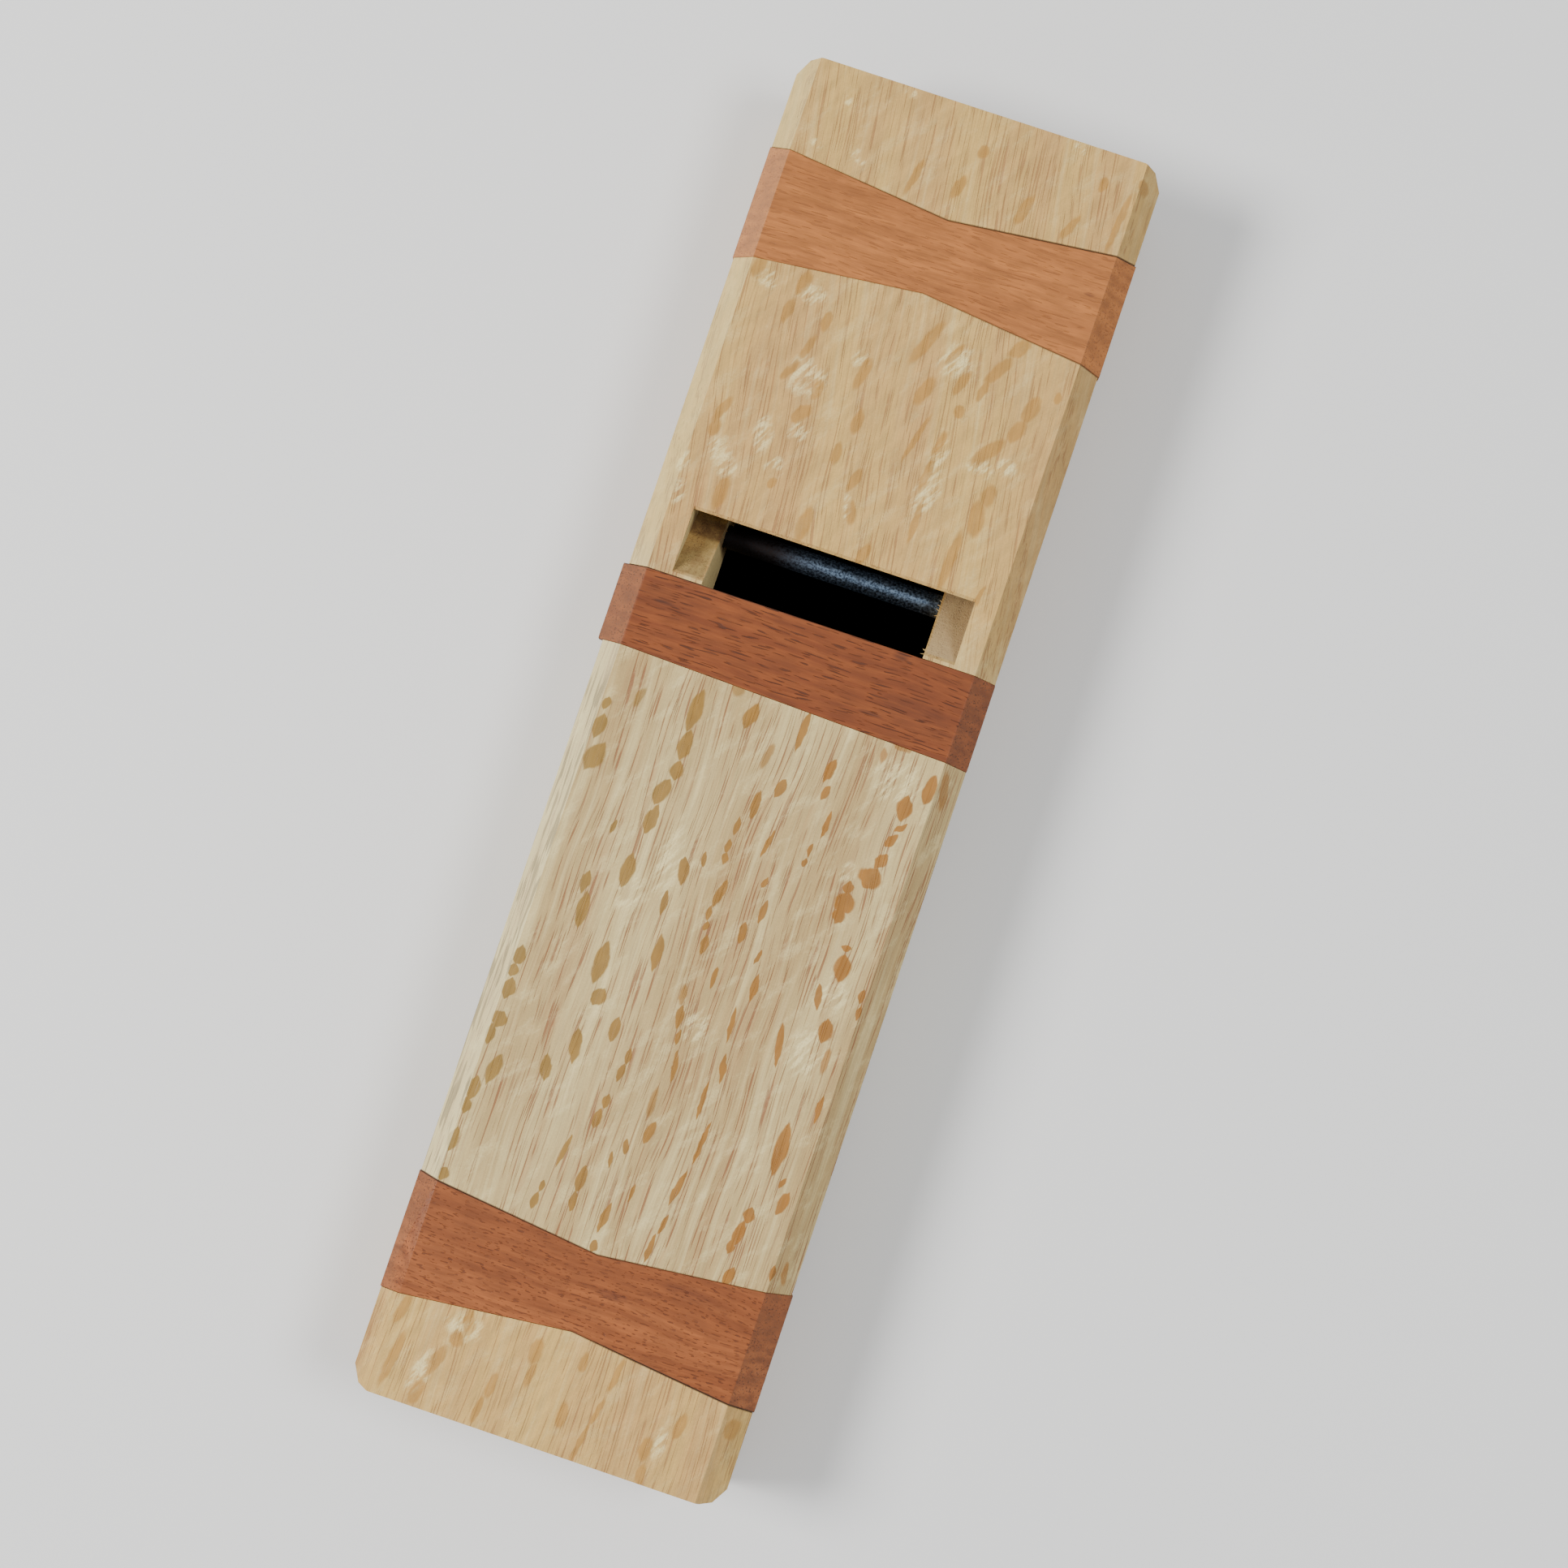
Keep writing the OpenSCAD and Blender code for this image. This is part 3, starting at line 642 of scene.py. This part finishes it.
def breaker_steel():
    """The chip-breaker: ground along its length, with thin rust in the hollows."""
    g = Graph("chip_breaker_steel", metallic=1.0)
    place, _ = g.coordinates()
    lines = g.noise(g.scaled(place, (1.0, 0.03, 0.03)), 0.2, 2.0)
    blooms = g.noise(place, 5.0, 3.0, 0.6)
    colour = g.mix(g.step(lines, 0.3, 0.7), rgb(140, 142, 146), rgb(172, 174, 178))
    rust = g.step(blooms, 0.56, 0.7)
    colour = g.mix(g.times(rust, 0.6), colour, rgb(112, 86, 66))
    rough = g.math("MULTIPLY_ADD", rust, 0.25, g.step(lines, 0.3, 0.7, 0.3, 0.42))
    height = g.math("MULTIPLY_ADD", rust, 0.4, g.times(lines, 0.5))
    return g.finish(colour, rough, height, depth_mm=0.04, specular=STEEL_SPECULAR)


# ---------------------------------------------------------------------------------------------
# Pieces
# ---------------------------------------------------------------------------------------------


# Corners this close are one corner, and edges sharper than this are broken
WELD_MM = 0.001
BROKEN_OVER_DEG = 30


def dress(node, material, edge_mm=0.0):
    """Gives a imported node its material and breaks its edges. Its faces come apart from each other,
    so they are joined first. The stock's long thin triangles would overlap, so it takes none."""
    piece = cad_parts[node]
    piece.data.materials.clear()
    piece.data.materials.append(material)
    if not edge_mm:
        return
    weld = piece.modifiers.new("joined_faces", "WELD")
    weld.merge_threshold = WELD_MM * MM
    bevel = piece.modifiers.new("broken_edges", "BEVEL")
    bevel.width = edge_mm * MM
    bevel.segments = 2
    bevel.limit_method = "ANGLE"
    bevel.angle_limit = math.radians(BROKEN_OVER_DEG)


def mesh_piece(name, build, material, body):
    """A piece of our own, from a function that fills a bmesh in millimetres."""
    bm = bmesh.new()
    build(bm)
    bmesh.ops.scale(bm, vec=(MM,) * 3, verts=bm.verts)
    mesh = bpy.data.meshes.new(name)
    bm.to_mesh(mesh)
    bm.free()
    piece = bpy.data.objects.new(name, mesh)
    bpy.context.scene.collection.objects.link(piece)
    mesh.materials.append(material)
    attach(piece, body)


# Torn fibres on the throat's side walls: side, y in mm, and heading in degrees from +X
SPLINTER_ROOTS = [
    (1, 45.7, 140), (1, 44.9, 165), (1, 43.6, 150), (1, 42.8, 200), (1, 33.2, 190),
    (1, 33.8, 160), (1, 34.5, 210), (-1, 45.6, 20), (-1, 44.4, -10),
]
SPLINTER_SEED = 7
# A splinter's length beyond its sunk root, its width there, and how deep in the wall it is sunk
SPLINTER_OUT = (0.6, 0.9)
SPLINTER_W = 0.28
SPLINTER_SUNK = 0.5
# How far the root stays below the pressing face; the tip stays twice as far
SPLINTER_DROP = 0.35
# What the tip loses of the width, and the thickness as a share of the width
SPLINTER_TAPER = 0.85
SPLINTER_FLAT = 0.6
SPLINTER_RINGS = 6


def groove_face_z(y):
    """Height of the cheeks' pressing faces, which start at the mouth and slope down the bed."""
    return -(y - PRESS_Y) * math.tan(math.radians(PRESS_ANGLE))


def splinters(bm):
    """Thin slivers, widest at their roots, that stay under the iron's face and off the breaker."""
    dice = random.Random(SPLINTER_SEED)
    for side_sign, root_y, heading in SPLINTER_ROOTS:
        length = dice.uniform(*SPLINTER_OUT) + SPLINTER_SUNK
        turn = math.radians(heading)
        forward = Vector((math.cos(turn), math.sin(turn), 0.0))
        side = Vector((-forward.y, forward.x, 0.0))
        root = Vector((side_sign * (THROAT_HALF_W + SPLINTER_SUNK), root_y, 0.0))
        rings = []
        for i in range(SPLINTER_RINGS):
            t = i / (SPLINTER_RINGS - 1)
            middle = root + forward * length * t
            middle.z = groove_face_z(middle.y) - SPLINTER_DROP * (1.0 + t)
            half = SPLINTER_W / 2 * (1.0 - SPLINTER_TAPER * t)
            lift = Vector((0.0, 0.0, half * SPLINTER_FLAT))
            rings.append(
                [
                    bm.verts.new(middle + side * half),
                    bm.verts.new(middle + lift),
                    bm.verts.new(middle - side * half),
                    bm.verts.new(middle - lift),
                ]
            )
        for a, b in zip(rings, rings[1:]):
            for k in range(4):
                bm.faces.new((a[k], a[(k + 1) % 4], b[(k + 1) % 4], b[k]))
        bm.faces.new(rings[0][::-1])
        bm.faces.new(rings[-1])
    bmesh.ops.recalc_face_normals(bm, faces=bm.faces)


# ---------------------------------------------------------------------------------------------
# Stage, light and camera
# ---------------------------------------------------------------------------------------------


def plain(name, colour, roughness):
    g = Graph(name)
    g.shader.inputs["Base Color"].default_value = colour
    g.shader.inputs["Roughness"].default_value = roughness
    return g.material


def stage_mesh(name, verts, faces, material):
    mesh = bpy.data.meshes.new(name)
    mesh.from_pydata([[v * MM for v in corner] for corner in verts], [], faces)
    mesh.materials.append(material)
    piece = bpy.data.objects.new(name, mesh)
    bpy.context.scene.collection.objects.link(piece)


def rectangle(x0, x1, y0, y1, z):
    return [(x0, y0, z), (x1, y0, z), (x1, y1, z), (x0, y1, z)]


FLOOR_FAR = 9000.0
FLOOR_GAP = 0.02
# Outlines as low X, high X, low Y, high Y: the floor's hole stays hidden under the stock
HOLE = (-32, 32, 15, 120)
PIT = (-70, 70, -30, 210)
# The pit's ledge and its bottom, below the floor
PIT_LEDGE = 0.5
PIT_DEPTH = 120


def stage():
    """A pale floor that the stock lies on, with a pit under it for the iron, black as painted shade.
    """
    floor_z = -THICK - FLOOR_GAP
    around = [(i, (i + 1) % 4, (i + 1) % 4 + 4, i + 4) for i in range(4)]
    hole = rectangle(*HOLE, floor_z)
    stage_mesh(
        "floor",
        rectangle(-FLOOR_FAR, FLOOR_FAR, -FLOOR_FAR, FLOOR_FAR, floor_z) + hole,
        around,
        plain("pale_floor", (0.74, 0.74, 0.735, 1.0), 0.85),
    )
    pit_top = rectangle(*PIT, floor_z - PIT_LEDGE)
    pit_bottom = rectangle(*PIT, floor_z - PIT_DEPTH)
    # The pit's near-black colour is painted shade, seen through the mouth
    stage_mesh(
        "pit",
        hole + pit_top + pit_bottom,
        around + [(4 + a, 4 + b, 4 + c, 4 + d) for a, b, c, d in around] + [(8, 9, 10, 11)],
        plain("pit_painted_shade", (0.004, 0.004, 0.005, 1.0), 1.0),
    )


# The lamps: degrees from straight above, degrees round from +X, metres and watts
LIGHT_ZENITH = 42
LIGHT_FROM = 192
LIGHT_DISTANCE = 1.5
LIGHT_SIZE = 0.55
LIGHT_POWER = 29.0
FILL_ZENITH = 28
FILL_FROM = 10
FILL_POWER = 12.0
SKY_STRENGTH = 0.56


def direction(zenith_deg, azimuth_deg):
    """The unit vector that far from straight up and that far round from +X."""
    zenith, azimuth = math.radians(zenith_deg), math.radians(azimuth_deg)
    return Vector(
        (
            math.sin(zenith) * math.cos(azimuth),
            math.sin(zenith) * math.sin(azimuth),
            math.cos(zenith),
        )
    )


def soft_lamp(name, zenith, azimuth, power, colour):
    """A round lamp that shines at the origin from a direction in the model's frame."""
    lamp = bpy.data.lights.new(name, "AREA")
    lamp.shape = "DISK"
    lamp.size = LIGHT_SIZE
    lamp.energy = power
    lamp.color = colour
    piece = bpy.data.objects.new(name, lamp)
    bpy.context.scene.collection.objects.link(piece)
    out = direction(zenith, azimuth)
    piece.location = out * LIGHT_DISTANCE
    piece.rotation_euler = out.to_track_quat("Z", "Y").to_euler()


def light():
    """A large soft lamp from the left and a little from the toe, a weak one from the right that
    reaches into the throat, and an even pale sky."""
    soft_lamp("key", LIGHT_ZENITH, LIGHT_FROM, LIGHT_POWER, (1.0, 0.985, 0.96))
    soft_lamp("fill", FILL_ZENITH, FILL_FROM, FILL_POWER, (0.97, 0.985, 1.0))
    world = bpy.data.worlds.new("sky")
    bpy.context.scene.world = world
    world.use_nodes = True
    sky = world.node_tree.nodes["Background"]
    sky.inputs["Color"].default_value = (0.96, 0.98, 1.0, 1.0)
    sky.inputs["Strength"].default_value = SKY_STRENGTH


# The camera looks almost straight down at the sole, turned so that the tail is up and to the right
CAMERA_LENS = 67.1
CAMERA_SENSOR = 36.0
CAMERA_TARGET = Vector((5.26, -1.53, 0.0)) * MM
CAMERA_DISTANCE = 0.5989
CAMERA_TILT = 4.08
CAMERA_TILT_FROM = -64.6
CAMERA_TURN = 18.57
CAMERA_NEAR = 0.01
CAMERA_FAR = 100.0


def camera():
    back = direction(CAMERA_TILT, CAMERA_TILT_FROM)
    turn = math.radians(CAMERA_TURN)
    right = Vector((math.cos(turn), math.sin(turn), 0.0))
    right = (right - back * right.dot(back)).normalized()
    up = back.cross(right)
    data = bpy.data.cameras.new("camera")
    data.lens = CAMERA_LENS
    data.sensor_width = CAMERA_SENSOR
    data.clip_start = CAMERA_NEAR
    data.clip_end = CAMERA_FAR
    piece = bpy.data.objects.new("camera", data)
    bpy.context.scene.collection.objects.link(piece)
    turned = Matrix((right, up, back)).transposed().to_4x4()
    piece.matrix_world = Matrix.Translation(CAMERA_TARGET + back * CAMERA_DISTANCE) @ turned
    bpy.context.scene.camera = piece


camera()
light()
stage()

oak_wood = oak()
dress("stock", oak_wood)
dress("front_inlay", front_hardwood(), 0.15)
dress("mouth_inlay", mouth_hardwood(), 0.2)
dress("rear_inlay", rear_hardwood(), 0.15)
dress("cross_pin", pin_steel(), 0.3)
dress("iron", forged_steel(), 0.25)
dress("chip_breaker", breaker_steel(), 0.2)
mesh_piece("throat_splinters", splinters, oak_wood, "plane_stock")
